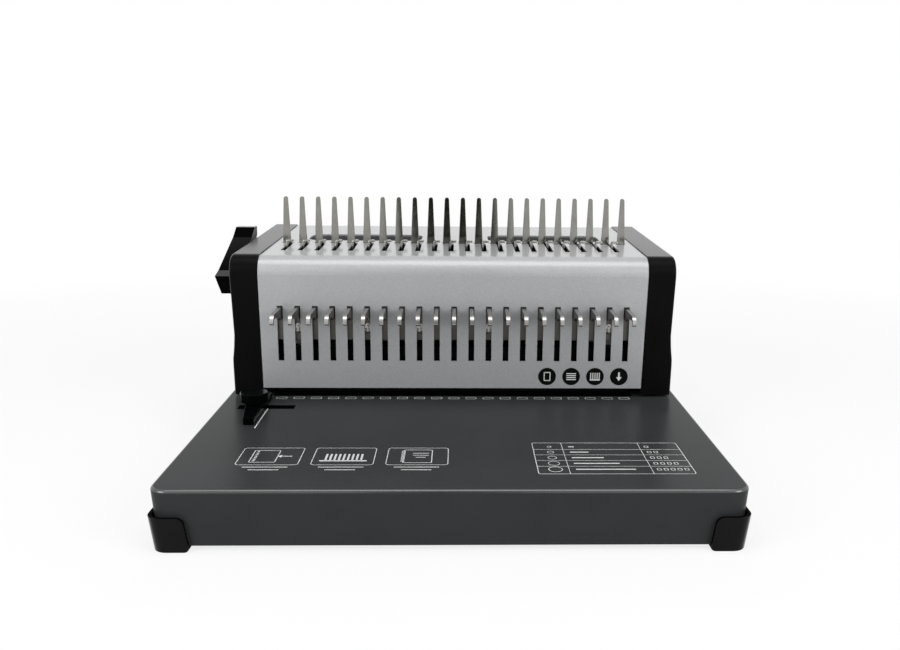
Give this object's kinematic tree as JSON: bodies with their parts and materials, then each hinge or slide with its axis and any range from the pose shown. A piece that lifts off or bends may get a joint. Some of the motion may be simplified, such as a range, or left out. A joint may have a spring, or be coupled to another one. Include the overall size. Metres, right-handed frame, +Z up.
{
  "type": "comb binding machine",
  "caption": "Desktop electric comb binder: tray base, slotted punch body, comb uprights with opening hooks, side lever, sliding edge guide and chip drawer.",
  "frame": {"origin": "on the table under the middle of the machine's outline", "axes": "+X to the right as seen from the tray, +Y to the back, +Z up"},
  "size_m": [0.394, 0.414, 0.2016],
  "materials": {
    "base_plastic": "fine texture",
    "black_plastic": "satin",
    "guard_rubber": "matte",
    "silver_paint": "fine metallic",
    "dark_sheet": "satin",
    "well_plastic": "satin",
    "steel": "brushed",
    "bright_steel": "bright plated",
    "bronze": "plain",
    "motor_metal": "satin",
    "button_green": "gloss",
    "rocker_red": "gloss",
    "board_green": "gloss",
    "post_plastic": "plain"
  },
  "bodies": {
    "chassis": {"base_tray": "base_plastic", "bottom_plate": "dark_sheet", "guard_front_left": "guard_rubber", "guard_front_right": "guard_rubber", "guard_back_left": "guard_rubber", "guard_back_right": "guard_rubber", "front_cover": "silver_paint", "left_end_cap": "black_plastic", "right_end_cap": "black_plastic", "rear_cover": "dark_sheet", "left_well": "well_plastic", "right_well": "well_plastic", "left_frame": "steel", "right_frame": "steel", "left_bush": "bronze", "right_bush": "bronze", "comb_uprights": "steel", "upright_rail": "steel", "guide_block": "dark_sheet", "die_block": "steel", "back_gauge": "steel", "guide_posts": "steel", "crank_bearings": "steel", "motor_body": "motor_metal", "motor_plate": "steel", "power_inlet": "black_plastic", "circuit_board": "board_green", "board_posts": "post_plastic", "transformer": "motor_metal"},
    "lever": {"lever_arm": "black_plastic", "lever_shaft": "steel", "left_pinion": "steel", "right_pinion": "steel"},
    "front_carriage": {"front_hooks": "bright_steel", "front_hook_bar": "steel", "hook_bolts": "bright_steel", "front_racks": "steel"},
    "top_carriage": {"top_hooks": "bright_steel", "top_hook_bar": "steel", "top_racks": "steel"},
    "punch": {"punch_beam": "steel", "punch_pins": "steel"},
    "crank": {"crank_shaft": "steel", "crank_gear": "steel"},
    "motor_rotor": {"motor_pinion": "bronze"},
    "guide": {"edge_guide": "black_plastic"},
    "knob": {"clamp_knob": "black_plastic"},
    "drawer": {"chip_drawer": "black_plastic"},
    "button": {"punch_button": "button_green"},
    "rocker": {"power_rocker": "rocker_red"}
  },
  "joints": [
    {"name": "lever_turn", "type": "hinge", "parent": "chassis", "child": "lever", "pos_m": [0.005, 0.038, 0.127], "axis": [1, 0, 0], "range_deg": [0, 80]},
    {"name": "front_hook_slide", "type": "slide", "parent": "chassis", "child": "front_carriage", "axis": [0, 0, -1], "range_m": [0, 0.0231]},
    {"name": "top_hook_slide", "type": "slide", "parent": "chassis", "child": "top_carriage", "axis": [0, -1, 0], "range_m": [0, 0.0231]},
    {"name": "crank_turn", "type": "hinge", "parent": "chassis", "child": "crank", "pos_m": [0.005, 0.028, 0.1], "axis": [1, 0, 0], "range_deg": [0, 180]},
    {"name": "punch_slide", "type": "slide", "parent": "chassis", "child": "punch", "axis": [0, 0, -1], "range_m": [0, 0.012]},
    {"name": "motor_turn", "type": "hinge", "parent": "chassis", "child": "motor_rotor", "pos_m": [0.005, 0.0536, 0.1], "axis": [1, 0, 0], "range_deg": [-258, 0]},
    {"name": "guide_slide", "type": "slide", "parent": "chassis", "child": "guide", "axis": [1, 0, 0], "range_m": [-0.009, 0.028]},
    {"name": "knob_turn", "type": "hinge", "parent": "guide", "child": "knob", "pos_m": [-0.1544, -0.028, 0.05], "axis": [0, 0, 1], "range_deg": [0, 180]},
    {"name": "drawer_slide", "type": "slide", "parent": "chassis", "child": "drawer", "axis": [1, 0, 0], "range_m": [0, 0.26]},
    {"name": "button_press", "type": "slide", "parent": "chassis", "child": "button", "axis": [-1, 0, 0], "range_m": [0, 0.003], "stiffness_N_per_m": 500, "springref_m": -0.002},
    {"name": "rocker_tilt", "type": "hinge", "parent": "chassis", "child": "rocker", "pos_m": [-0.073, 0.1948, 0.068], "axis": [1, 0, 0], "range_deg": [0, 10]}
  ],
  "couplings": [
    {"joint": "front_hook_slide", "follows": "lever_turn", "m_per_rad": 0.0165},
    {"joint": "top_hook_slide", "follows": "lever_turn", "m_per_rad": 0.0165},
    {"joint": "crank_turn", "follows": "punch_slide", "rad_per_m": 261.8},
    {"joint": "motor_turn", "follows": "punch_slide", "rad_per_m": -374}
  ]
}
